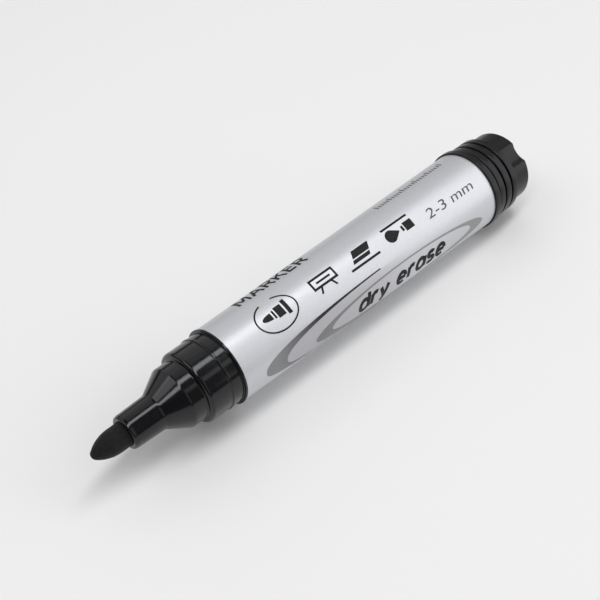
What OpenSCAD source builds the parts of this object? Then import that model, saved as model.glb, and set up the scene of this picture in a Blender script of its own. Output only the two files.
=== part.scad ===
// Dry-erase whiteboard marker without its cap, lying level along X.
// The nib points to -X. The middle of the length is at X = 0, and the widest band touches Z = 0.
// Every size is in millimetres.

/* [Nib] */
// Diameter of the felt nib
nib_d = 5.04; // [4.2:0.02:5.6]
// Length of nib that stands out of the nose tube
nib_out = 7.3; // [6.2:0.1:9]
// Length of the bullet-shaped end of the nib
nib_bullet = 5.2; // [4:0.1:6]
// Radius of the ball at the very tip
nib_tip_r = 1.15; // [0.6:0.05:1.6]
// Length of nib inside the ink core
nib_stab = 6; // [4.5:0.5:10]
// Length of the blunt cone at the nib's inner end
nib_point = 3; // [2:0.5:4]
// Radial clearance around the nib in its guide and in the ink core
nib_clear = 0.05; // [0.02:0.01:0.1]

/* [Front section] */
// Width of the ring face around the nib at the tube's mouth
mouth_lip = 0.48; // [0.3:0.02:0.8]
// Wall of the nose tube just behind the mouth
tube_wall = 0.97; // [0.85:0.01:1.4]
// Growth of the nose tube's radius from the mouth to the cone
tube_draft = 0.2; // [0:0.05:0.6]
// Length of the nose tube
tube_len = 7; // [4:0.1:12]
// Length over which the mouth of the tube is rounded down
mouth_len = 0.5; // [0.2:0.1:0.8]
// Length of the cone between the tube and the neck
cone_len = 4.6; // [3:0.1:8]
// Radial step from the neck up to the collar
neck_step = 1.15; // [0.6:0.05:1.6]
// Length of the neck
neck_len = 3; // [1.5:0.1:6]
// Radial step from the barrel down to the collar, which the cap slides over
collar_step = 0.5; // [0.4:0.05:1]
// Length of the collar in front of the snap bead
collar_len = 4.9; // [3:0.1:8]
// Height of the snap bead above the collar
bead_h = 0.2; // [0.1:0.05:0.3]
// Width of the snap bead
bead_w = 0.65; // [0.6:0.05:1]
// Height of the cap seat behind the bead above the collar
seat_rise = 0.09; // [0:0.01:0.1]
// Length of the cap seat
seat_len = 2.2; // [1.5:0.1:5]
// Height of the thin flange above the barrel
flange_rise = 0.18; // [0.1:0.02:0.6]
// Thickness of the thin flange
flange_t = 0.45; // [0.3:0.05:1]
// Length of the spigot inside the barrel
spigot_len = 7; // [5:0.5:12]
// Wall of the front section
front_wall = 1.1; // [0.8:0.05:1.35]
// Wall of the guide tube around the nib
guide_wall = 0.9; // [0.7:0.05:1.1]
// Number of ribs between the guide tube and the skin
front_ribs = 4; // [3:1:6]
// Thickness of the ribs in the front section and in the tail plug
rib_t = 1; // [0.6:0.1:1.4]

/* [Barrel] */
// Length of the barrel
barrel_len = 73.1; // [55:0.1:95]
// Diameter over the film at the front end
barrel_front_d = 16.24; // [14:0.02:20]
// Diameter over the film at the tail end
barrel_tail_d = 18.08; // [15:0.02:22]
// Wall of the barrel at its ends
barrel_wall = 1; // [0.8:0.05:1.3]
// Thickness of the printed film
film_t = 0.08; // [0.05:0.01:0.2]
// Number of ribs inside the barrel that centre the ink core
barrel_ribs = 6; // [4:1:8]
// Thickness of the centring ribs
barrel_rib_t = 0.8; // [0.5:0.1:1.2]

/* [Ink core] */
// Smallest radial gap between the core's wrap and the bore or the tail plug's cup
core_gap = 0.3; // [0.2:0.05:0.6]
// Thickness of the film around the fibre rod
wrap_t = 0.1; // [0.05:0.01:0.2]
// Length of the ink core inside the tail plug's cup
core_cupped = 2; // [1:0.1:4]

/* [Tail plug] */
// Height of the wide band above the barrel
band_rise = 0.38; // [0.1:0.02:0.8]
// Thickness of the wide band
band_t = 1.75; // [1.2:0.05:3]
// Number of rings behind the band
ring_count = 3; // [1:1:5]
// Radial drop from the barrel's tail down to the rings
ring_drop = 0.09; // [0:0.01:0.4]
// Thickness of each ring
ring_t = 1.7; // [1:0.05:2.5]
// Width of the groove in front of each ring
groove_w = 0.5; // [0.3:0.05:0.8]
// Depth of the grooves below the rings
groove_deep = 0.45; // [0.2:0.05:0.6]
// Radial step from the rings down to the post
post_step = 0.79; // [0.6:0.01:1.2]
// Length of the post
post_len = 4.95; // [3:0.05:8]
// Number of flutes around the post
flute_count = 2; // [2:1:3]
// Width of each flute at the post's surface
flute_w = 4.6; // [3:0.1:5.6]
// Depth of each flute
flute_deep = 1; // [0.8:0.1:1.2]
// Length of the plug's spigot inside the barrel
plug_len = 8.5; // [6:0.1:12]
// Wall of the tail plug
plug_wall = 1; // [0.8:0.05:1.2]
// Thickness of the plug's end wall
plug_end = 1.5; // [1:0.1:2.5]
// Radial clearance of the plug's spigot in the barrel
plug_clear = 0.05; // [0.02:0.01:0.1]
// Number of ribs inside the plug
plug_ribs = 4; // [3:1:6]
// Turn of the flutes and of all the ribs about the axis, from straight up towards -Y
clocking = 34.5; // [0:0.5:90]

/* [Hidden] */

// Small edge break and small gaps that several pieces share
edge = 0.25;
end_gap = 0.3;
fine = 96;

// Stations along the axis, counted from the tip of the nib
mouth_x = nib_out;
cone_x = mouth_x + tube_len;
neck_x = cone_x + cone_len;
collar_x = neck_x + neck_len;
bead_x = collar_x + collar_len;
seat_x = bead_x + bead_w;
flange_x = seat_x + seat_len;
barrel_x = flange_x + flange_t;
core_x = barrel_x + spigot_len;
band_x = barrel_x + barrel_len;
plug_x = band_x - plug_len;
ring_pitch = groove_w + ring_t;
post_x = band_x + band_t + ring_count * ring_pitch;
end_x = post_x + post_len;
core_end_x = plug_x + core_cupped;
nib_end_x = core_x + nib_stab;

// Radii
nib_r = nib_d / 2;
guide_r = nib_r + nib_clear;
guide_out_r = guide_r + guide_wall;
tube_r = guide_r + tube_wall;
barrel_front_r = barrel_front_d / 2 - film_t;
barrel_tail_r = barrel_tail_d / 2 - film_t;
front_bore_r = barrel_front_r - barrel_wall;
tail_bore_r = barrel_tail_r - barrel_wall;
collar_r = barrel_front_d / 2 - collar_step;
neck_r = collar_r - neck_step;
seat_r = collar_r + seat_rise;
flange_r = barrel_front_d / 2 + flange_rise;
front_hollow_r = min(front_bore_r, collar_r) - front_wall;
neck_hollow_r = min(neck_r - front_wall, front_hollow_r - edge);
band_r = barrel_tail_d / 2 + band_rise;
ring_r = barrel_tail_d / 2 - ring_drop;
groove_r = ring_r - groove_deep;
post_r = ring_r - post_step;
post_hollow_r = post_r - flute_deep - plug_wall;
plug_r = tail_bore_r - plug_clear;
cup_r = plug_r - plug_wall;
wrap_r = min(front_bore_r, cup_r) - core_gap;
core_r = wrap_r - wrap_t;

// Height of the axis: the widest piece lies on Z = 0
axis_z = max(band_r, ring_r, flange_r, barrel_front_d / 2);

// Turns an outline of [radius, station] points about the marker's axis
module turned() {
    translate([-end_x / 2, 0, axis_z])
        rotate([0, 90, 0])
            rotate_extrude($fn = fine)
                children();
}

// Round bar or hole from one station to another
module round_bar(r, from, to) {
    translate([from - end_x / 2, 0, axis_z])
        rotate([0, 90, 0])
            cylinder(r = r, h = to - from, $fn = fine);
}

// Flat ribs that stand out from the axis like spokes
module spokes(count, thick, reach, from, to) {
    for (i = [0 : count - 1])
        translate([from - end_x / 2, 0, axis_z])
            rotate([clocking + i * 360 / count, 0, 0])
                translate([0, -thick / 2, 0])
                    cube([to - from, thick, reach]);
}

// Radius of the arc that runs from the ball at the tip into the nib's side
bullet_rise = nib_r - nib_tip_r;
bullet_run = nib_bullet - nib_tip_r;
bullet_r = (bullet_run * bullet_run + nib_r * nib_r - nib_tip_r * nib_tip_r) / (2 * bullet_rise);
// Where the ball at the tip meets that arc
bullet_lean = atan2(bullet_r - nib_r, bullet_run);
join_r = nib_tip_r * sin(bullet_lean);
join_x = nib_tip_r - nib_tip_r * cos(bullet_lean);

module nib() {
    color("#2b2b2d")
        turned() {
            intersection() {
                translate([0, nib_tip_r])
                    circle(r = nib_tip_r, $fn = fine);
                square([nib_r, nib_tip_r]);
            }
            intersection() {
                translate([nib_r - bullet_r, nib_bullet])
                    circle(r = bullet_r, $fn = fine);
                translate([0, join_x])
                    square([nib_r, nib_bullet - join_x]);
            }
            polygon([
                [0, nib_bullet],
                [nib_r, nib_bullet],
                [nib_r, nib_end_x - nib_point],
                [nib_r / 2, nib_end_x],
                [0, nib_end_x]
            ]);
        }
}

module front_skin() {
    bead_r = collar_r + bead_h;
    mouth_r = guide_r + mouth_lip;
    turned()
        polygon([
            [0, mouth_x],
            [mouth_r, mouth_x],
            [(mouth_r + 2 * tube_r) / 3, mouth_x + mouth_len / 3],
            [tube_r, mouth_x + mouth_len],
            [tube_r + tube_draft, cone_x],
            [neck_r - edge / 2, neck_x - edge / 4],
            [neck_r, neck_x + edge],
            [neck_r, collar_x],
            [collar_r - edge, collar_x],
            [collar_r, collar_x + edge],
            [collar_r, bead_x],
            [bead_r, bead_x + bead_h],
            [bead_r, seat_x - bead_h],
            [seat_r, seat_x],
            [seat_r, flange_x],
            [flange_r, flange_x],
            [flange_r, barrel_x],
            [front_bore_r, barrel_x],
            [front_bore_r, core_x - edge],
            [front_bore_r - edge, core_x],
            [0, core_x]
        ]);
}

// Space between the skin and the guide tube, open towards the ink core
module front_hollow() {
    turned()
        polygon([
            [0, neck_x - edge],
            [guide_out_r, neck_x - edge],
            [neck_hollow_r, neck_x + edge],
            [neck_hollow_r, collar_x + front_wall],
            [front_hollow_r, collar_x + front_wall + edge],
            [front_hollow_r, core_x + edge],
            [0, core_x + edge]
        ]);
}

module front_section() {
    guide_end_x = core_x - end_gap;
    color("#161618")
        difference() {
            union() {
                difference() {
                    front_skin();
                    front_hollow();
                }
                round_bar(guide_out_r, neck_x - 2 * edge, guide_end_x);
                intersection() {
                    spokes(front_ribs, rib_t, neck_hollow_r + edge, neck_x - 2 * edge, collar_x);
                    front_skin();
                }
                spokes(front_ribs, rib_t, front_hollow_r + edge, collar_x + edge, guide_end_x);
            }
            round_bar(guide_r, mouth_x - edge, core_x + edge);
        }
}

module barrel() {
    front_pocket_x = core_x;
    tail_pocket_x = plug_x - end_gap;
    color("#e9e9ea")
        union() {
            difference() {
                turned()
                    polygon([
                        [0, barrel_x],
                        [barrel_front_r, barrel_x],
                        [barrel_tail_r, band_x],
                        [0, band_x]
                    ]);
                turned()
                    polygon([
                        [0, front_pocket_x],
                        [front_bore_r, front_pocket_x],
                        [tail_bore_r - edge, tail_pocket_x],
                        [0, tail_pocket_x]
                    ]);
                round_bar(front_bore_r, barrel_x - edge, front_pocket_x);
                round_bar(tail_bore_r, tail_pocket_x, band_x + edge);
            }
            centring_ribs();
        }
}

// Ribs that fill the widening gap between the barrel's bore and the ink core
module centring_ribs() {
    ribs_x = core_x + 2 * edge;
    ribs_end_x = plug_x - 2 * end_gap;
    intersection() {
        turned()
            polygon([
                [wrap_r + nib_clear, ribs_x],
                [front_bore_r + edge, ribs_x],
                [tail_bore_r, ribs_end_x],
                [wrap_r + nib_clear, ribs_end_x]
            ]);
        spokes(barrel_ribs, barrel_rib_t, barrel_tail_r, ribs_x, ribs_end_x);
    }
}

module label_film() {
    color("#c9ccd2")
        turned()
            polygon([
                [barrel_front_r, barrel_x],
                [barrel_front_r + film_t, barrel_x],
                [barrel_tail_r + film_t, band_x],
                [barrel_tail_r, band_x]
            ]);
}

module core_wrap() {
    color("#f2f2ee")
        turned()
            translate([core_r, core_x])
                square([wrap_t, core_end_x - core_x]);
}

module ink_core() {
    socket_r = nib_r + nib_clear;
    socket_end_x = nib_end_x + end_gap;
    color("#3a3a40")
        difference() {
            round_bar(core_r, core_x, core_end_x);
            round_bar(socket_r, core_x - edge, socket_end_x);
        }
}

module plug_body() {
    turned()
        union() {
            polygon([
                [0, plug_x],
                [plug_r - edge, plug_x],
                [plug_r, plug_x + edge],
                [plug_r, band_x],
                [0, band_x]
            ]);
            polygon([
                [0, band_x],
                [band_r - edge / 2, band_x],
                [band_r, band_x + edge / 2],
                [band_r, band_x + band_t - edge],
                [band_r - edge, band_x + band_t],
                [0, band_x + band_t]
            ]);
            translate([0, band_x + band_t])
                square([groove_r, post_x - band_x - band_t]);
            for (i = [0 : ring_count - 1])
                translate([0, band_x + band_t + groove_w + i * ring_pitch])
                    square([ring_r, ring_t]);
            polygon([
                [0, post_x],
                [post_r, post_x],
                [post_r, end_x - edge],
                [post_r - edge, end_x],
                [0, end_x]
            ]);
        }
}

// One concave flute beside the post, as a round bar that cuts into its side
module flutes() {
    half_w = flute_w / 2;
    chord_x = sqrt(post_r * post_r - half_w * half_w);
    sag = flute_deep - (post_r - chord_x);
    flute_r = (half_w * half_w + sag * sag) / (2 * sag);
    flute_axis = post_r - flute_deep + flute_r;
    for (i = [0 : flute_count - 1])
        translate([post_x - end_x / 2, 0, axis_z])
            rotate([clocking + i * 360 / flute_count, 0, 0])
                translate([0, 0, flute_axis])
                    rotate([0, 90, 0])
                        cylinder(r = flute_r, h = post_len + edge, $fn = fine);
}

module plug_hollow() {
    turned()
        polygon([
            [0, plug_x - edge],
            [cup_r, plug_x - edge],
            [cup_r, post_x - plug_wall],
            [post_hollow_r, post_x - edge],
            [post_hollow_r, end_x - plug_end],
            [0, end_x - plug_end]
        ]);
}

module tail_plug() {
    ribs_x = core_end_x + end_gap;
    color("#2a2b2d")
        union() {
            difference() {
                plug_body();
                flutes();
                plug_hollow();
            }
            spokes(plug_ribs, rib_t, cup_r + edge, ribs_x, post_x - plug_wall);
            spokes(plug_ribs, rib_t, post_hollow_r + edge, ribs_x, end_x - edge);
        }
}

nib();
front_section();
barrel();
label_film();
core_wrap();
ink_core();
tail_plug();
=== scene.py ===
"""Whiteboard marker without its cap: felt nib, black nose, printed silver barrel and ringed tail plug."""
import math

import bmesh
import bpy
from mathutils import Matrix, Vector, noise


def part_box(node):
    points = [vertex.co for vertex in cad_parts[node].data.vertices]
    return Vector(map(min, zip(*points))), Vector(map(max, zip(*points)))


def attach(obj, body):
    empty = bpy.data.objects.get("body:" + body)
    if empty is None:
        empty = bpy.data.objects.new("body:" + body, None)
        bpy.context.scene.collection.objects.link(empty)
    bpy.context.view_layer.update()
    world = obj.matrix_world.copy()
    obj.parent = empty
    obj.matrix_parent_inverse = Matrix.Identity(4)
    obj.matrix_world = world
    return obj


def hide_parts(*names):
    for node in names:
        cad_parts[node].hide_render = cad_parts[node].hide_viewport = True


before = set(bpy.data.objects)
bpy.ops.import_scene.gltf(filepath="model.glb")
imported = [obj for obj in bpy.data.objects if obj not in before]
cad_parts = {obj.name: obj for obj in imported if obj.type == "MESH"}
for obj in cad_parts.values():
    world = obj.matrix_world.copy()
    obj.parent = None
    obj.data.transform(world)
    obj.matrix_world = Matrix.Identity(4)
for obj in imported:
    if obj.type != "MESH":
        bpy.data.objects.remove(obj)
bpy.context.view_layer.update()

# ---------------------------------------------------------------- sizes, in millimetres
MM = 0.001
TURN_STEPS = 192
ARC_STEPS = 5

# Stations along the marker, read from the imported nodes
TIP_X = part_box("nib")[0][0] / MM
NIB_END_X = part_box("nib")[1][0] / MM
MOUTH_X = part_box("front_section")[0][0] / MM
CORE_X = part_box("front_section")[1][0] / MM
BARREL_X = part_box("barrel")[0][0] / MM
BAND_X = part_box("barrel")[1][0] / MM
PLUG_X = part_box("tail_plug")[0][0] / MM
END_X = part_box("tail_plug")[1][0] / MM
CORE_END_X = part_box("ink_core")[1][0] / MM
BAND_R = (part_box("tail_plug")[1][1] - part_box("tail_plug")[0][1]) / 2 / MM
AXIS_Z = BAND_R

# Nib
NIB_R = 2.52
BULLET = 5.2
BALL_R = 1.15
NIB_CONE = 3.0

# Nose moulding, with the walls between its steps inside
GUIDE_R = 2.57
GUIDE_OUT_R = 3.47
MOUTH_R = 3.05
TUBE_R = 3.54
TUBE_ROOT_R = 3.74
CONE_X = MOUTH_X + 7.0
NECK_X = CONE_X + 4.6
COLLAR_X = NECK_X + 3.0
BEAD_X = COLLAR_X + 4.9
SEAT_X = BEAD_X + 0.65
FLANGE_X = BARREL_X - 0.45
NECK_R = 6.47
COLLAR_R = 7.62
BEAD_R = 7.82
SEAT_R = 7.71
FLANGE_R = 8.30
SPIGOT_R = 7.04
NECK_HOLLOW_R = 5.37
FRONT_HOLLOW_R = 5.94
STEP_WALL = 1.1
GUIDE_BACK = 0.3
RIB = 1.0
RIB_SINK = 0.2
NOSE_RIBS = 4
GATE_TURN = math.radians(29)
GATE_SIZE = (0.26, 0.26, 0.16)

# Barrel and its printed film
FILM_FRONT_R = 8.12
FILM_TAIL_R = 9.04
FILM = 0.08

# Tail plug
PLUG_R = 7.91
CUP_R = 6.91
BAND = 1.75
GROOVE = 0.5
RING = 1.7
RINGS = 3
RING_R = 8.95
GROOVE_R = 8.5
POST_R = 8.16
POST_HOLLOW_R = 6.16
POST_X = BAND_X + BAND + RINGS * (GROOVE + RING)
FLUTES = 2
FLUTE_W = 4.6
FLUTE_DEEP = 1.0
PLUG_WALL = 1.0
END_WALL = 1.5
END_DISH = 0.12
END_DISH_R = 5.8
END_GATE_R = 1.2
END_GATE_DEEP = 0.15
RIB_GAP = 0.3

# Turn about the axis, from straight up towards -Y, of the side that the print faces
FACE_TURN = math.radians(34.5)


def station(from_tip):
    """Station along the marker of a point given by its distance behind the nib's tip."""
    return TIP_X + from_tip


# ---------------------------------------------------------------- mesh helpers
def rounded(corners, closed):
    """Outline through (x, r, fillet) corners, with each fillet drawn as an arc."""
    outline = []
    count = len(corners)
    for i, (x, r, fillet) in enumerate(corners):
        here = Vector((x, r))
        end_point = not closed and i in (0, count - 1)
        if fillet == 0 or end_point:
            outline.append(here)
            continue
        before = Vector(corners[i - 1][:2]) - here
        after = Vector(corners[(i + 1) % count][:2]) - here
        half = before.angle(after) / 2
        reach = fillet / math.tan(half)
        middle = here + (before.normalized() + after.normalized()).normalized() * fillet / math.sin(half)
        first = here + before.normalized() * reach - middle
        last = here + after.normalized() * reach - middle
        sweep = first.angle_signed(last)
        for step in range(ARC_STEPS + 1):
            outline.append(middle + Matrix.Rotation(-sweep * step / ARC_STEPS, 2) @ first)
    return outline


def turned(outline, closed, steps=TURN_STEPS):
    """Spins an outline of (x, r) points in millimetres about the marker's axis."""
    bm = bmesh.new()
    ring = [bm.verts.new((x * MM, 0, (AXIS_Z + r) * MM)) for x, r in outline]
    edges = [bm.edges.new(pair) for pair in zip(ring, ring[1:])]
    if closed:
        edges.append(bm.edges.new((ring[-1], ring[0])))
    bmesh.ops.spin(bm, geom=ring + edges, axis=(1, 0, 0), cent=(0, 0, AXIS_Z * MM),
                   angle=math.tau, steps=steps, use_merge=True, use_duplicate=False)
    bmesh.ops.remove_doubles(bm, verts=bm.verts, dist=1e-7)
    bmesh.ops.recalc_face_normals(bm, faces=bm.faces)
    return bm


def add_plate(bm, low, high, turn):
    """Adds a flat rib between two corners, given as (x, y, r) before it is turned about the axis."""
    size = [(b - a) * MM for a, b in zip(low, high)]
    middle = Vector([(a + b) / 2 * MM for a, b in zip(low, high)])
    about_axis = Matrix.Translation((0, 0, AXIS_Z * MM)) @ Matrix.Rotation(turn, 4, "X")
    place = about_axis @ Matrix.Translation(middle) @ Matrix.Diagonal((*size, 1))
    bmesh.ops.create_cube(bm, size=1, matrix=place)


def piece_from(bm, name, finish, body, smooth=True):
    """Makes the finished object and rides it on its body."""
    mesh = bpy.data.meshes.new(name)
    bm.to_mesh(mesh)
    bm.free()
    mesh.materials.append(finish)
    piece = bpy.data.objects.new(name, mesh)
    bpy.context.scene.collection.objects.link(piece)
    if smooth:
        mesh.polygons.foreach_set("use_smooth", [True] * len(mesh.polygons))
        mesh.set_sharp_from_angle(angle=math.radians(38))
        even = piece.modifiers.new("even_shading", "WEIGHTED_NORMAL")
        even.keep_sharp = True
    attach(piece, body)
    return piece


# ---------------------------------------------------------------- material helpers
class Finish:
    """A node material with a Principled shader and short calls for the patterns on it."""

    def __init__(self, name, colour, rough, **sockets):
        self.material = bpy.data.materials.new(name)
        self.material.use_nodes = True
        self.nodes = self.material.node_tree.nodes
        self.links = self.material.node_tree.links
        self.shader = self.nodes["Principled BSDF"]
        self.shader.inputs["Base Color"].default_value = (*colour, 1)
        self.shader.inputs["Roughness"].default_value = rough
        for socket, value in sockets.items():
            self.shader.inputs[socket.replace("_", " ")].default_value = value
        self.place = self.nodes.new("ShaderNodeTexCoord").outputs["Object"]

    def stretched(self, scale):
        mapping = self.nodes.new("ShaderNodeMapping")
        mapping.inputs["Scale"].default_value = scale
        self.links.new(self.place, mapping.inputs["Vector"])
        return mapping.outputs["Vector"]

    def grain(self, scale, detail=3.0, stretch=(1, 1, 1)):
        """Noise of the given scale per metre."""
        node = self.nodes.new("ShaderNodeTexNoise")
        node.inputs["Scale"].default_value = scale
        node.inputs["Detail"].default_value = detail
        self.links.new(self.stretched(stretch), node.inputs["Vector"])
        return node.outputs["Fac"]

    def between(self, factor, low, high):
        """Maps a 0 to 1 factor on to a range of values."""
        node = self.nodes.new("ShaderNodeMapRange")
        node.inputs["To Min"].default_value = low
        node.inputs["To Max"].default_value = high
        self.links.new(factor, node.inputs["Value"])
        return node.outputs["Result"]

    def along(self, near_x, far_x):
        """Runs from 0 to 1 between two stations in millimetres."""
        split = self.nodes.new("ShaderNodeSeparateXYZ")
        self.links.new(self.place, split.inputs["Vector"])
        node = self.nodes.new("ShaderNodeMapRange")
        node.inputs["From Min"].default_value = near_x * MM
        node.inputs["From Max"].default_value = far_x * MM
        self.links.new(split.outputs["X"], node.inputs["Value"])
        return node.outputs["Result"]

    def ramp(self, factor, stops):
        """Colour ramp through (position, colour) stops."""
        node = self.nodes.new("ShaderNodeValToRGB")
        node.color_ramp.elements.remove(node.color_ramp.elements[1])
        for i, (position, colour) in enumerate(stops):
            stop = node.color_ramp.elements[0] if i == 0 else node.color_ramp.elements.new(position)
            stop.position = position
            stop.color = (*colour, 1)
        self.links.new(factor, node.inputs["Fac"])
        return node.outputs["Color"]

    def feed(self, output, socket):
        self.links.new(output, self.shader.inputs[socket])

    def bump(self, height, strength, distance):
        """Bump of the given depth in metres."""
        node = self.nodes.new("ShaderNodeBump")
        node.inputs["Strength"].default_value = strength
        node.inputs["Distance"].default_value = distance
        self.links.new(height, node.inputs["Height"])
        if self.shader.inputs["Normal"].links:
            self.links.new(self.shader.inputs["Normal"].links[0].from_socket, node.inputs["Normal"])
        self.links.new(node.outputs["Normal"], self.shader.inputs["Normal"])


def grey(value, blue=0.0):
    return (value, value, value + blue)


def felt():
    finish = Finish("nib_felt", grey(0.005), 0.85, Sheen_Weight=0.1, Sheen_Roughness=0.5,
                    Specular_IOR_Level=0.25)
    fibres = finish.grain(2600, 6, (0.25, 1, 1))
    finish.feed(finish.ramp(fibres, [(0.3, grey(0.003)), (0.7, grey(0.01, 0.0015))]), "Base Color")
    finish.feed(finish.between(finish.grain(5200, 4), 0.72, 0.95), "Roughness")
    finish.bump(fibres, 0.6, 0.00006)
    finish.bump(finish.grain(9000, 3), 0.4, 0.00002)
    return finish.material


def polished_black():
    finish = Finish("nose_black", (0.0026, 0.0026, 0.0034), 0.14, IOR=1.49,
                    Specular_Tint=(0.96, 0.97, 1.0, 1.0))
    finish.feed(finish.between(finish.grain(900, 4), 0.11, 0.18), "Roughness")
    finish.bump(finish.grain(160, 2), 0.25, 0.00002)
    finish.bump(finish.grain(6000, 2), 0.15, 0.000002)
    return finish.material


def satin_black():
    finish = Finish("plug_black", (0.0034, 0.0034, 0.0042), 0.3, IOR=1.36,
                    Specular_Tint=(0.96, 0.97, 1.0, 1.0))
    finish.feed(finish.between(finish.grain(1400, 4), 0.25, 0.35), "Roughness")
    finish.bump(finish.grain(4200, 3), 0.35, 0.00001)
    return finish.material


def silver_film():
    finish = Finish("silver_film", (0.63, 0.635, 0.665), 0.44, Metallic=0.7)
    flake = finish.grain(3600, 5, (0.6, 1, 1))
    cloud = finish.grain(90, 3, (0.3, 1, 1))
    tones = [(0.25, (0.6, 0.605, 0.635)), (0.75, (0.655, 0.662, 0.695))]
    finish.feed(finish.ramp(flake, tones), "Base Color")
    finish.feed(finish.between(cloud, 0.41, 0.47), "Roughness")
    finish.bump(flake, 0.15, 0.000006)
    return finish.material


def print_black():
    finish = Finish("print_black", grey(0.006), 0.5, Specular_IOR_Level=0.22)
    finish.feed(finish.ramp(finish.grain(2500, 4), [(0.3, grey(0.004)), (0.7, grey(0.011))]), "Base Color")
    finish.feed(finish.between(finish.grain(3200, 2), 0.45, 0.55), "Roughness")
    return finish.material


def print_grey():
    finish = Finish("print_grey", grey(0.07, 0.008), 0.45, Specular_IOR_Level=0.3)
    tones = [(0.3, grey(0.055, 0.008)), (0.7, grey(0.085, 0.008))]
    finish.feed(finish.ramp(finish.grain(2500, 4), tones), "Base Color")
    finish.feed(finish.between(finish.grain(3200, 2), 0.36, 0.46), "Roughness")
    return finish.material


def print_fading(name, near, far, near_x, far_x):
    """Print that runs from one tone at near_x to another at far_x, in millimetres along the marker."""
    finish = Finish(name, grey(near), 0.45, Specular_IOR_Level=0.3)
    along = finish.along(near_x, far_x)
    finish.feed(finish.ramp(along, [(0, grey(near, 0.01)), (1, grey(far, 0.002))]), "Base Color")
    finish.feed(finish.between(finish.grain(3200, 2), 0.36, 0.46), "Roughness")
    return finish.material


def print_tint(near_x, far_x):
    """Pale tint over the silver that has faded away at far_x, in millimetres along the marker."""
    finish = Finish("print_tint", (0.55, 0.54, 0.56), 0.44, Metallic=0.7)
    along = finish.along(near_x, far_x)
    tones = [(0, (0.5, 0.49, 0.515)), (0.6, (0.55, 0.545, 0.57)), (1, (0.628, 0.634, 0.665))]
    finish.feed(finish.ramp(along, tones), "Base Color")
    finish.feed(finish.between(finish.grain(90, 3, (0.3, 1, 1)), 0.41, 0.47), "Roughness")
    finish.bump(finish.grain(7000, 3, (0.6, 1, 1)), 0.12, 0.000004)
    return finish.material


def moulded_white():
    finish = Finish("barrel_white", (0.78, 0.78, 0.79), 0.4)
    finish.feed(finish.between(finish.grain(1200, 3), 0.36, 0.48), "Roughness")
    finish.bump(finish.grain(3000, 3), 0.2, 0.00001)
    return finish.material


def clear_wrap():
    finish = Finish("wrap_clear", (0.86, 0.86, 0.84), 0.2)
    finish.feed(finish.between(finish.grain(700, 3), 0.15, 0.3), "Roughness")
    finish.bump(finish.grain(400, 3, (0.2, 1, 1)), 0.3, 0.00005)
    return finish.material


def inked_fibre():
    finish = Finish("core_fibre", grey(0.02), 0.9, Sheen_Weight=0.2)
    strands = finish.grain(2400, 5, (0.1, 1, 1))
    finish.feed(finish.ramp(strands, [(0.3, grey(0.008)), (0.7, grey(0.04, 0.004))]), "Base Color")
    finish.bump(strands, 0.6, 0.00008)
    return finish.material


FELT = felt()
NOSE_BLACK = polished_black()
PLUG_BLACK = satin_black()
SILVER = silver_film()
INK = print_black()
INK_GREY = print_grey()


# ---------------------------------------------------------------- nib
def felt_nib():
    run = BULLET - BALL_R
    side_r = (run ** 2 + NIB_R ** 2 - BALL_R ** 2) / (2 * (NIB_R - BALL_R))
    lean = math.atan2(side_r - NIB_R, run)
    steps = 14
    ball = [(TIP_X + BALL_R * (1 - math.cos(a)), BALL_R * math.sin(a))
            for a in (lean * i / steps for i in range(steps + 1))]
    side_sweep = math.pi / 2 - lean
    side = [(TIP_X + BULLET - side_r * math.sin(a), NIB_R - side_r + side_r * math.cos(a))
            for a in (side_sweep * (1 - i / steps) for i in range(1, steps + 1))]
    shank_steps = 12
    shank_x = TIP_X + BULLET
    shank_end = NIB_END_X - NIB_CONE
    shank = [(shank_x + (shank_end - shank_x) * i / shank_steps, NIB_R) for i in range(1, shank_steps + 1)]
    inner_end = [(NIB_END_X, NIB_R / 2), (NIB_END_X, 0)]
    bm = turned(ball + side + shank + inner_end, closed=False)
    rough_up(bm)
    return piece_from(bm, "felt_nib", FELT, "nib")


def rough_up(bm):
    """Moves the felt's surface in by up to a few hundredths of a millimetre, as pressed fibre has."""
    deep = 0.035 * MM
    coarse = 1100
    for vert in bm.verts:
        out = Vector((0, vert.co.y, vert.co.z - AXIS_Z * MM))
        if out.length < 1e-6:
            continue
        amount = 0.5 + 0.5 * noise.noise(vert.co * coarse)
        vert.co -= out.normalized() * deep * amount


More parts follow.
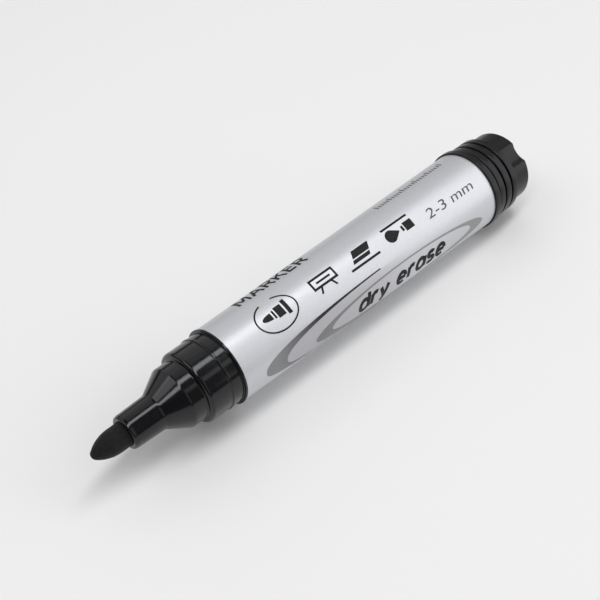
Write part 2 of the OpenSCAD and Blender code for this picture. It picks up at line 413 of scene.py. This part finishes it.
# ---------------------------------------------------------------- nose moulding
def nose_moulding():
    guide_end = CORE_X - GUIDE_BACK
    front_wall_x = COLLAR_X + STEP_WALL
    corners = [
        (MOUTH_X, GUIDE_R, 0.12),
        (MOUTH_X, MOUTH_R + 0.3, 0.4),
        (MOUTH_X + 0.75, TUBE_R, 0.6),
        (CONE_X, TUBE_ROOT_R, 1.2),
        (NECK_X, NECK_R - 0.03, 0.8),
        (COLLAR_X, NECK_R, 0.3),
        (COLLAR_X, COLLAR_R, 0.8),
        (BEAD_X, COLLAR_R, 0.1),
        (BEAD_X + 0.15, BEAD_R, 0.12),
        (SEAT_X - 0.15, BEAD_R, 0.12),
        (SEAT_X, SEAT_R, 0.1),
        (FLANGE_X, SEAT_R, 0.12),
        (FLANGE_X, FLANGE_R, 0.1),
        (BARREL_X, FLANGE_R, 0.1),
        (BARREL_X, SPIGOT_R, 0.0),
        (CORE_X, SPIGOT_R, 0.25),
        (CORE_X, FRONT_HOLLOW_R, 0.1),
        (front_wall_x + 0.25, FRONT_HOLLOW_R, 0.3),
        (front_wall_x, NECK_HOLLOW_R, 0.1),
        (NECK_X + 0.25, NECK_HOLLOW_R, 0.3),
        (NECK_X - 0.25, GUIDE_OUT_R, 0.1),
        (guide_end, GUIDE_OUT_R, 0.2),
        (guide_end, GUIDE_R, 0.1),
    ]
    bm = turned(rounded(corners, closed=True), closed=True)
    rib_low = GUIDE_OUT_R - RIB_SINK
    rib_step_x = front_wall_x + 0.1
    for i in range(NOSE_RIBS):
        turn = FACE_TURN + i * math.tau / NOSE_RIBS
        for start, stop, rib_high in ((NECK_X + 0.3, rib_step_x, NECK_HOLLOW_R + RIB_SINK),
                                      (rib_step_x - 0.05, guide_end - 0.1, FRONT_HOLLOW_R + RIB_SINK)):
            add_plate(bm, (start, -RIB / 2, rib_low), (stop, RIB / 2, rib_high), turn)
    add_gate_mark(bm)
    return piece_from(bm, "nose_moulding", NOSE_BLACK, "marker_body")


def add_gate_mark(bm):
    """Adds the low dome that the moulding gate leaves on the collar."""
    turn = Matrix.Rotation(FACE_TURN + GATE_TURN, 4, "X")
    dome = Matrix.Translation((COLLAR_X + 1.0, 0, COLLAR_R)) @ Matrix.Diagonal((*GATE_SIZE, 1))
    place = Matrix.Translation((0, 0, AXIS_Z * MM)) @ turn @ Matrix.Diagonal((MM, MM, MM, 1)) @ dome
    bmesh.ops.create_uvsphere(bm, u_segments=20, v_segments=12, radius=1, matrix=place)


# ---------------------------------------------------------------- barrel film and its print
def film_r(x):
    """Radius over the film at a station in millimetres."""
    along = (x - BARREL_X) / (BAND_X - BARREL_X)
    return FILM_FRONT_R + (FILM_TAIL_R - FILM_FRONT_R) * along


def printed_sleeve():
    corners = [
        (BARREL_X, FILM_FRONT_R, 0.0),
        (BAND_X, FILM_TAIL_R, 0.0),
        (BAND_X, FILM_TAIL_R - FILM, 0.0),
        (BARREL_X, FILM_FRONT_R - FILM, 0.0),
    ]
    bm = turned(rounded(corners, closed=True), closed=True, steps=256)
    return piece_from(bm, "printed_sleeve", SILVER, "marker_body")


def wrap_on(bm, name, finish):
    """Cuts a flat drawing into narrow rows, gives it the thickness of ink and lays it round the film.

    The drawing is in millimetres: x is the station and y the distance round the film, upwards
    from the line that faces FACE_TURN.
    """
    row = 0.3
    ink_over = 0.014
    ink_under = 0.02
    bmesh.ops.remove_doubles(bm, verts=bm.verts, dist=1e-5)
    low = min(v.co.y for v in bm.verts)
    high = max(v.co.y for v in bm.verts)
    for i in range(1, int((high - low) / row) + 1):
        geom = bm.verts[:] + bm.edges[:] + bm.faces[:]
        bmesh.ops.bisect_plane(bm, geom=geom, dist=1e-5, plane_co=(0, low + i * row, 0), plane_no=(0, 1, 0))
    bmesh.ops.recalc_face_normals(bm, faces=bm.faces)
    for face in bm.faces:
        if face.normal.z < 0:
            face.normal_flip()
    top = bmesh.ops.extrude_face_region(bm, geom=bm.faces[:])
    raised = {v for v in top["geom"] if isinstance(v, bmesh.types.BMVert)}
    for vert in bm.verts:
        over = ink_over if vert in raised else -ink_under
        radius = film_r(vert.co.x) + over + vert.co.z
        turn = FACE_TURN - vert.co.y / film_r(vert.co.x)
        vert.co = Vector((vert.co.x, -radius * math.sin(turn), AXIS_Z + radius * math.cos(turn))) * MM
    bmesh.ops.recalc_face_normals(bm, faces=bm.faces)
    return piece_from(bm, name, finish, "marker_body", smooth=False)


def add_strip(bm, left, right, lift=0.0):
    """Adds a ribbon of faces between two rows of points."""
    first = [bm.verts.new((x, y, lift)) for x, y in left]
    second = [bm.verts.new((x, y, lift)) for x, y in right]
    edges = [bm.edges.new(pair) for pair in zip(first, first[1:])]
    edges += [bm.edges.new(pair) for pair in zip(second, second[1:])]
    bmesh.ops.bridge_loops(bm, edges=edges)


def add_block(bm, low, high, lean=0.0):
    """Adds a flat rectangle, leaning to the right by lean at its top."""
    points = [(low[0], low[1]), (high[0], low[1]), (high[0] + lean, high[1]), (low[0] + lean, high[1])]
    bm.faces.new([bm.verts.new((x, y, 0)) for x, y in points])


def add_frame(bm, low, high, line):
    """Adds the outline of a rectangle, as a band of the given width inside it."""
    bands = []
    for inset in (0, line):
        left, right = low[0] + inset, high[0] - inset
        bottom, top = low[1] + inset, high[1] - inset
        bands.append([(left, bottom), (right, bottom), (right, top), (left, top), (left, bottom)])
    add_strip(bm, *bands)


def add_pen_stroke(bm, path, weight, lift=0.0):
    """Adds a ribbon that a flat pen of the given weight leaves along a path."""
    closed = (Vector(path[0]) - Vector(path[-1])).length < 1e-6
    last = len(path) - 1
    left, right = [], []
    for i, point in enumerate(path):
        before = path[i - 1] if i > 0 else path[last - 1 if closed else 0]
        after = path[i + 1] if i < last else path[1 if closed else last]
        along = (Vector(after) - Vector(before)).normalized() * weight / 2
        left.append((point[0] - along.y, point[1] + along.x))
        right.append((point[0] + along.y, point[1] - along.x))
    add_strip(bm, left, right, lift)


def oval_points(centre, half, start, stop, steps, power=2.0):
    """Points on an oval from one angle to another. A power over 2 makes its ends fuller."""
    points = []
    for i in range(steps + 1):
        a = math.radians(start + (stop - start) * i / steps)
        x = math.copysign(abs(math.cos(a)) ** (2 / power), math.cos(a))
        y = math.copysign(abs(math.sin(a)) ** (2 / power), math.sin(a))
        points.append((centre[0] + half[0] * x, centre[1] + half[1] * y))
    return points


def thin_words(words, height, width, slant=0.0):
    """Flat mesh of words in the built-in font, its left end and baseline at the origin."""
    curve = bpy.data.curves.new("thin_words", "FONT")
    curve.body = words
    curve.shear = slant
    curve.resolution_u = 4
    holder = bpy.data.objects.new("thin_words", curve)
    bpy.context.scene.collection.objects.link(holder)
    bpy.context.view_layer.update()
    mesh = bpy.data.meshes.new_from_object(holder.evaluated_get(bpy.context.evaluated_depsgraph_get()))
    bpy.data.objects.remove(holder)
    bpy.data.curves.remove(curve)
    bm = bmesh.new()
    bm.from_mesh(mesh)
    bpy.data.meshes.remove(mesh)
    low_x = min(v.co.x for v in bm.verts)
    high_x = max(v.co.x for v in bm.verts)
    cap_height = 0.729
    bmesh.ops.translate(bm, verts=bm.verts, vec=(-low_x, 0, 0))
    bmesh.ops.scale(bm, verts=bm.verts, vec=(width / (high_x - low_x), height / cap_height, 1))
    return bm


def bowl(x, y, wide, tall, start=0, stop=360):
    return oval_points((x, y), (wide, tall), start, stop, 20)


def letter(name):
    """Width and pen strokes of a letter, as parts of a capital's height."""
    low = 0.7
    mid = low / 2
    shapes = {
        " ": (0.22, []),
        "a": (0.58, [bowl(0.28, mid, 0.28, mid), [(0.58, 0), (0.58, low)]]),
        "d": (0.58, [bowl(0.28, mid, 0.28, mid), [(0.58, 0), (0.58, 1)]]),
        "e": (0.56, [bowl(0.28, mid, 0.28, mid, 0, 305), [(0.05, mid), (0.56, mid)]]),
        "r": (0.36, [[(0, 0), (0, low)], bowl(0.24, low - 0.24, 0.24, 0.24, 55, 180)]),
        "s": (0.44, [bowl(0.22, 0.53, 0.21, 0.17, 25, 270), bowl(0.22, 0.18, 0.22, 0.18, 90, -155)]),
        "y": (0.54, [[(0, low), (0.27, 0)], [(0.54, low), (0.14, -0.32)]]),
        "A": (0.7, [[(0, 0), (0.35, 1)], [(0.35, 1), (0.7, 0)], [(0.12, 0.33), (0.58, 0.33)]]),
        "E": (0.5, [[(0, 0), (0, 1)], [(0, 0.92), (0.5, 0.92)], [(0, 0.5), (0.46, 0.5)],
                    [(0, 0.08), (0.5, 0.08)]]),
        "K": (0.6, [[(0, 0), (0, 1)], [(0.04, 0.4), (0.58, 1)], [(0.2, 0.6), (0.6, 0)]]),
        "M": (0.76, [[(0, 0), (0, 1)], [(0.02, 1), (0.38, 0.2)], [(0.38, 0.2), (0.74, 1)],
                     [(0.76, 1), (0.76, 0)]]),
        "R": (0.56, [[(0, 0), (0, 1)], [(0, 0.92), (0.26, 0.92)], [(0, 0.45), (0.26, 0.45)],
                     bowl(0.26, 0.685, 0.28, 0.235, 90, -90), [(0.24, 0.45), (0.56, 0)]]),
    }
    return shapes[name]


def bold_words(words, x, y, height, width, weight, slant=0.0):
    """Flat mesh of words in plain pen strokes, between x and x + width with its baseline at y."""
    gap = 0.26
    long = sum(letter(name)[0] + gap for name in words) - gap
    across = (width - weight) / long
    bm = bmesh.new()
    pen_x = x + weight / 2
    strokes = 0
    for name in words:
        wide, paths = letter(name)
        for path in paths:
            strokes += 1
            laid = [(pen_x + px * across + py * height * slant, y + py * height) for px, py in path]
            add_pen_stroke(bm, laid, weight, lift=0.0008 * strokes)
        pen_x += (wide + gap) * across
    return bm


def inside_of_swoosh(start, stop, steps):
    """Points along the crescent's inner edge from one angle to another."""
    return oval_points((station(78), -7.7), (37.6, 4.68), start, stop, steps, power=2.4)


def print_ground():
    """Pale tint that fills the crescent and fades out towards the tail."""
    bm = bmesh.new()
    steps = 48
    under_the_rest = -0.008
    add_strip(bm, inside_of_swoosh(180, 90, steps), inside_of_swoosh(180, 270, steps), lift=under_the_rest)
    return wrap_on(bm, "print_ground", print_tint(station(50), station(77)))


def print_swoosh():
    """Long crescent that opens towards the tail."""
    bm = bmesh.new()
    steps = 60
    outer = oval_points((station(75), -7.4), (40, 4.6), 97, 263, steps, power=2.5)
    add_strip(bm, outer, inside_of_swoosh(102, 258, steps))
    fading = print_fading("print_swoosh", 0.26, 0.02, station(38), station(50))
    return wrap_on(bm, "print_swoosh", fading)


def print_oval():
    """Oval frame around the large word, thick at its two ends."""
    bm = bmesh.new()
    steps = 96
    outer = oval_points((station(73.4), -8.4), (25.3, 3.8), 0, 360, steps)
    inner = oval_points((station(73.6), -8.1), (21, 3.15), 0, 360, steps)
    add_strip(bm, outer, inner)
    fading = print_fading("print_oval", 0.22, 0.32, station(50), station(95))
    return wrap_on(bm, "print_oval", fading)


def print_large_word():
    bm = bold_words("dry erase", x=station(59.8), y=-9.45, height=3.6, width=26.4, weight=0.95, slant=0.2)
    return wrap_on(bm, "print_large_word", INK)


def print_small_name():
    bm = bold_words("MARKER", x=station(38.8), y=8.2, height=3.3, width=18.6, weight=0.6)
    return wrap_on(bm, "print_small_name", INK)


def print_line_width():
    bm = thin_words("2-3 mm", height=2.3, width=14.4, slant=0.12)
    bmesh.ops.translate(bm, verts=bm.verts, vec=(station(84.4), -0.7, 0))
    return wrap_on(bm, "print_line_width", INK_GREY)


def print_tip_icon():
    """Ring, open at its top, around a drawing of a bullet nib."""
    bm = bmesh.new()
    half_long, half_tall = 4.85, 3.5
    half_line = 0.17
    outer, inner = (oval_points((station(42.6), 1.8), (half_long + grow, half_tall + grow), 110, 435, 72)
                    for grow in (half_line, -half_line))
    add_strip(bm, outer, inner)
    y = 1.9
    bullet = oval_points((station(41.4), y), (2.3, 0.75), 90, 270, 16)
    bm.faces.new([bm.verts.new((px, py, 0)) for px, py in bullet])
    add_block(bm, (station(41.75), y - 0.9), (station(42.2), y + 0.9))
    add_block(bm, (station(42.5), y - 1.2), (station(44.3), y + 1.2))
    add_block(bm, (station(44.7), y - 1.65), (station(45.6), y + 1.65))
    return wrap_on(bm, "print_tip_icon", INK)


def print_icons():
    """Three generic signs: a board on its stand, an eraser wiping a line, and a drop of ink by a pen."""
    bm = bmesh.new()
    low, high = -0.4, 3.4
    line = 0.5
    # Board on its stand, with a line written on it
    x = station(52)
    board_low = 0.8
    add_frame(bm, (x, board_low), (x + 6.5, high), line)
    add_block(bm, (x + 1.4, 1.85), (x + 5.1, 2.3))
    for foot, lean in ((x + 1.0, 0.6), (x + 5.0, -0.6)):
        add_block(bm, (foot, low), (foot + line, board_low), lean)
    # Eraser wiping a line
    x = station(61.5)
    add_block(bm, (x + 1.3, 0.7), (x + 6.0, 1.5), lean=0.45)
    add_block(bm, (x + 1.9, 1.75), (x + 6.6, high), lean=0.9)
    add_block(bm, (x, low), (x + 8.2, low + line))
    # Drop of ink by the end of a pen
    x = station(72.6)
    drop = oval_points((x + 1.5, 1.1), (1.5, 1.4), 65, 295, 20)
    drop.append((x + 4.0, 1.1))
    bm.faces.new([bm.verts.new((px, py, 0)) for px, py in drop])
    add_block(bm, (x + 4.6, 0.5), (x + 5.2, 1.7))
    add_block(bm, (x + 5.5, 0.1), (x + 7.9, 2.1))
    add_block(bm, (x + 0.2, 2.9), (x + 7.9, 2.9 + line))
    return wrap_on(bm, "print_icons", INK)


def print_tick_row():
    """Row of short ticks, every fifth one longer, round towards the back."""
    bm = bmesh.new()
    low = 8.7
    pitch = 0.8
    thick = 0.35
    for i in range(26):
        x = station(78.2) + pitch * i
        tall = 1.7 if i % 5 == 0 else 1.0
        add_block(bm, (x, low), (x + thick, low + tall))
    return wrap_on(bm, "print_tick_row", INK_GREY)


# ---------------------------------------------------------------- tail plug
def end_plug():
    corners = [
        (END_X - END_DISH - END_GATE_DEEP, 0, 0),
        (END_X - END_DISH - END_GATE_DEEP, END_GATE_R, 0.08),
        (END_X - END_DISH, END_GATE_R + END_GATE_DEEP, 0.08),
        (END_X - END_DISH, END_DISH_R, 0.08),
        (END_X, END_DISH_R + 0.2, 0.08),
        (END_X, POST_R, 0.35),
        (POST_X, POST_R, 0.1),
    ]
    x = POST_X
    for _ in range(RINGS):
        corners += [(x, RING_R, 0.14), (x - RING, RING_R, 0.14), (x - RING, GROOVE_R, 0.08)]
        x -= RING + GROOVE
        corners.append((x, GROOVE_R, 0.08))
    corners += [
        (x, BAND_R, 0.25),
        (BAND_X, BAND_R, 0.15),
        (BAND_X, PLUG_R, 0.0),
        (PLUG_X, PLUG_R, 0.25),
        (PLUG_X, CUP_R, 0.15),
        (POST_X - PLUG_WALL, CUP_R, 0.3),
        (POST_X - 0.25, POST_HOLLOW_R, 0.2),
        (END_X - END_WALL, POST_HOLLOW_R, 0.4),
        (END_X - END_WALL, 0, 0),
    ]
    bm = turned(rounded(corners, closed=False), closed=False, steps=288)
    cut_flutes(bm)
    cross_step_x = POST_X - PLUG_WALL
    for turn in (FACE_TURN, FACE_TURN + math.tau / 4):
        for start, stop, reach in ((CORE_END_X + RIB_GAP, cross_step_x, CUP_R + RIB_SINK),
                                   (cross_step_x, END_X - END_WALL + RIB_SINK, POST_HOLLOW_R + RIB_SINK)):
            add_plate(bm, (start, -RIB / 2, -reach), (stop, RIB / 2, reach), turn)
    return piece_from(bm, "end_plug", PLUG_BLACK, "tail_plug")


def cut_flutes(bm):
    """Sinks the post's side in towards the axis where each concave flute runs."""
    half_w = FLUTE_W / 2
    sag = FLUTE_DEEP - (POST_R - math.sqrt(POST_R ** 2 - half_w ** 2))
    flute_r = (half_w ** 2 + sag ** 2) / (2 * sag)
    flute_axis = POST_R - FLUTE_DEEP + flute_r
    for vert in bm.verts:
        x = vert.co.x / MM
        y = vert.co.y / MM
        z = vert.co.z / MM - AXIS_Z
        radius = math.hypot(y, z)
        if x < POST_X - 0.2 or radius < POST_R - 0.6 or radius > POST_R + 0.15:
            continue
        turn = math.atan2(-y, z) - FACE_TURN
        apart = math.tau / FLUTES
        off = (turn + apart / 2) % apart - apart / 2
        across = flute_axis * math.sin(off)
        if abs(across) >= flute_r or abs(off) > math.pi / 4:
            continue
        wall = flute_axis * math.cos(off) - math.sqrt(flute_r ** 2 - across ** 2)
        if wall < POST_R:
            shrink = (radius - POST_R + wall) / radius
            vert.co.y *= shrink
            vert.co.z = (AXIS_Z + z * shrink) * MM


# ---------------------------------------------------------------- the marker
MOULDED = (
    (felt_nib, "nib", "nib_felt"),
    (nose_moulding, "front_section", "nose_plastic"),
    (printed_sleeve, "label_film", "silver_film"),
    (end_plug, "tail_plug", "tail_plastic"),
)
PRINTED = (print_ground, print_swoosh, print_oval, print_large_word, print_small_name,
           print_line_width, print_tip_icon, print_icons, print_tick_row)

for make_piece, node, slot in MOULDED:
    piece = make_piece()
    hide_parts(node)
for make_print in PRINTED:
    make_print()
for node, finish in (("barrel", moulded_white()), ("core_wrap", clear_wrap()), ("ink_core", inked_fibre())):
    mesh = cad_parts[node].data
    mesh.materials.clear()
    mesh.materials.append(finish)


# ---------------------------------------------------------------- floor, light and camera
def pale_floor():
    """Flat sheet under the marker, tipped a little so that the nose and the plug both touch it."""
    run = BAND_X - BARREL_X
    slope = math.asin((BAND_R - FLANGE_R) / run)
    bm = bmesh.new()
    bmesh.ops.create_grid(bm, x_segments=1, y_segments=1, size=3.0)
    touch = Matrix.Translation((BAND_X * MM, 0, 0)) @ Matrix.Rotation(-slope, 4, "Y")
    bmesh.ops.transform(bm, matrix=touch, verts=bm.verts)
    mesh = bpy.data.meshes.new("pale_floor")
    bm.to_mesh(mesh)
    bm.free()
    paper = Finish("floor_white", (0.9, 0.9, 0.9), 0.6)
    mesh.materials.append(paper.material)
    floor = bpy.data.objects.new("pale_floor", mesh)
    bpy.context.scene.collection.objects.link(floor)


def pale_backdrop():
    """Pale screen all round the floor, which only the camera sees, its glow painted light: brighter at its
    foot, where it meets the lit floor, and darker towards the top. The lamps shine through it.
    """
    reach = 0.5
    bm = bmesh.new()
    bmesh.ops.create_uvsphere(bm, u_segments=96, v_segments=48, radius=reach)
    bmesh.ops.reverse_faces(bm, faces=bm.faces)
    mesh = bpy.data.meshes.new("pale_backdrop")
    bm.to_mesh(mesh)
    bm.free()
    screen = Finish("screen_painted_glow", (0, 0, 0), 1.0, Specular_IOR_Level=0.0, Emission_Strength=1.0)
    split = screen.nodes.new("ShaderNodeSeparateXYZ")
    screen.links.new(screen.place, split.inputs["Vector"])
    tall = screen.nodes.new("ShaderNodeMapRange")
    tall.inputs["From Max"].default_value = reach
    screen.links.new(split.outputs["Z"], tall.inputs["Value"])
    # Painted glow: bright at the screen's foot to meet the lit floor, darker towards the top
    screen.feed(screen.ramp(tall.outputs["Result"], [(0, grey(0.78)), (1, grey(0.6))]), "Emission Color")
    mesh.materials.append(screen.material)
    backdrop = bpy.data.objects.new("pale_backdrop", mesh)
    backdrop.visible_diffuse = False
    backdrop.visible_glossy = False
    backdrop.visible_transmission = False
    backdrop.visible_volume_scatter = False
    backdrop.visible_shadow = False
    bpy.context.scene.collection.objects.link(backdrop)


def soft_box(name, place, size, glow, turn=0.0):
    """Rectangular lamp that faces the marker, with an even glow over its face.

    The first of its two sizes lies along the marker's side and the second across it.
    """
    lamp = bpy.data.lights.new(name, "AREA")
    lamp.shape = "RECTANGLE"
    lamp.size, lamp.size_y = size
    lamp.energy = glow * math.pi * size[0] * size[1]
    box = bpy.data.objects.new(name, lamp)
    out = (Vector(place) - Vector((0, 0, AXIS_Z * MM))).normalized()
    across = out.cross((1, 0, 0)).normalized()
    facing = Matrix((across.cross(out), across, out)).transposed().to_4x4()
    box.matrix_world = Matrix.Translation(place) @ facing @ Matrix.Rotation(math.radians(turn), 4, "Z")
    bpy.context.scene.collection.objects.link(box)


def studio():
    world = bpy.data.worlds.new("studio")
    world.use_nodes = True
    sky = world.node_tree.nodes["Background"]
    sky.inputs["Color"].default_value = (1, 1, 1, 1)
    sky.inputs["Strength"].default_value = 0.12
    bpy.context.scene.world = world
    soft_box("long_box", (-0.05, -0.06, 0.6), (1.0, 0.14), 4.8, turn=9)
    soft_box("top_box", (-0.45, 0.24, 0.5), (0.35, 0.4), 1.6)
    soft_box("back_box", (0.05, 0.62, 0.42), (1.3, 0.6), 0.6)
    soft_box("roof_box", (0.38, 0.22, 0.5), (0.75, 0.24), 0.5)
    soft_box("near_box", (0.21, -0.33, 0.42), (0.12, 0.12), 0.8)
    soft_box("window_box", (0.62, -0.45, 0.42), (0.6, 1.0), 1.8)
    soft_box("front_box", (-0.1, -0.6, 0.42), (0.45, 0.75), 0.45)


def camera():
    """Looks down on the marker from in front of its nib, a hand's length away."""
    azimuth = math.radians(-44.84)
    elevation = math.radians(45.54)
    field = math.radians(31.03)
    away = 0.2167
    back = Vector((math.sin(azimuth) * math.cos(elevation), -math.cos(azimuth) * math.cos(elevation),
                   math.sin(elevation)))
    aim = Vector((station(53) * MM, 0.00112, AXIS_Z * MM + 0.00072))
    lens = bpy.data.cameras.new("camera")
    lens.angle = field
    lens.clip_start = 0.01
    eye = bpy.data.objects.new("camera", lens)
    eye.location = aim + back * away
    eye.rotation_euler = back.to_track_quat("Z", "Y").to_euler()
    bpy.context.scene.collection.objects.link(eye)
    bpy.context.scene.camera = eye


pale_floor()
pale_backdrop()
studio()
camera()
bpy.context.scene.view_settings.view_transform = "Standard"

bpy.context.view_layer.update()
